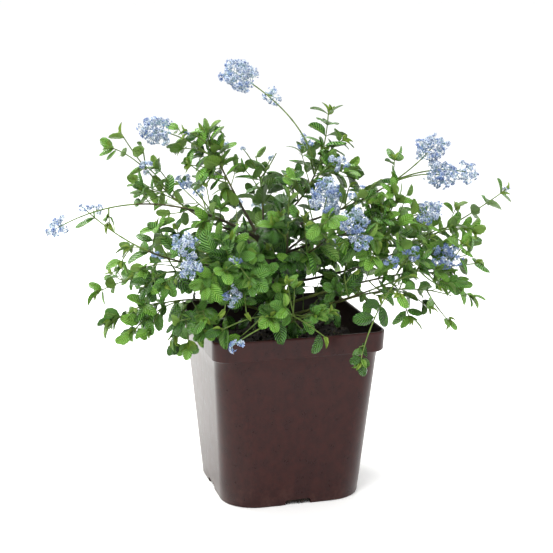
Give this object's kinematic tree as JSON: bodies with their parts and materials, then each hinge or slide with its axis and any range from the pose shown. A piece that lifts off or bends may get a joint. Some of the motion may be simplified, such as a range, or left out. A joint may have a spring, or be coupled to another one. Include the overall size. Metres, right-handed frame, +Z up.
{
  "type": "california lilac shrub in a square plastic nursery pot",
  "caption": "Young evergreen shrub with arching leafy stems and pale blue flower heads, rooted in compost in a tapered square brown plastic pot.",
  "frame": {"origin": "centre of the pot's flat underside, on the surface it stands on", "axes": "+Z up; the pot's four walls face +X, -X, +Y and -Y; the front of the view is -Y"},
  "size_m": [0.4506, 0.3126, 0.4197],
  "materials": {
    "pot_plastic": "satin moulded plastic, dark maroon brown, faintly scuffed",
    "compost": "dark crumbly potting compost with brown lumps",
    "bark": "thin brown-green bark with fine ridges",
    "foliage": "glossy green leaves, green twigs and pale blue flowers"
  },
  "bodies": {
    "root": {"pot": "pot_plastic", "soil": "compost", "trunk": "bark", "bough_back": "bark", "bough_back_left": "bark", "bough_back_low_left": "bark", "bough_back_low_right": "bark", "bough_back_right": "bark", "bough_centre_back": "bark", "bough_centre_front": "bark", "bough_centre_upright": "bark", "bough_front_left": "bark", "bough_front_low": "bark", "bough_front_right": "bark", "bough_left_arch": "bark", "bough_left_bottom": "bark", "bough_left_fork": "bark", "bough_left_low": "bark", "bough_left_top": "bark", "bough_left_upper": "bark", "bough_right_droop": "bark", "bough_right_long": "bark", "bough_right_low": "bark", "bough_right_mid": "bark", "bough_right_upper": "bark", "bough_top": "bark", "mass_back": "foliage", "mass_back_left": "foliage", "mass_back_low_left": "foliage", "mass_back_low_right": "foliage", "mass_back_right": "foliage", "mass_centre_back": "foliage", "mass_centre_front": "foliage", "mass_centre_upright": "foliage", "mass_front_left": "foliage", "mass_front_low": "foliage", "mass_front_right": "foliage", "mass_left_arch": "foliage", "mass_left_bottom": "foliage", "mass_left_fork": "foliage", "mass_left_low": "foliage", "mass_left_top": "foliage", "mass_left_upper": "foliage", "mass_right_droop": "foliage", "mass_right_long": "foliage", "mass_right_low": "foliage", "mass_right_mid": "foliage", "mass_right_upper": "foliage", "mass_top": "foliage"}
  },
  "joints": []
}
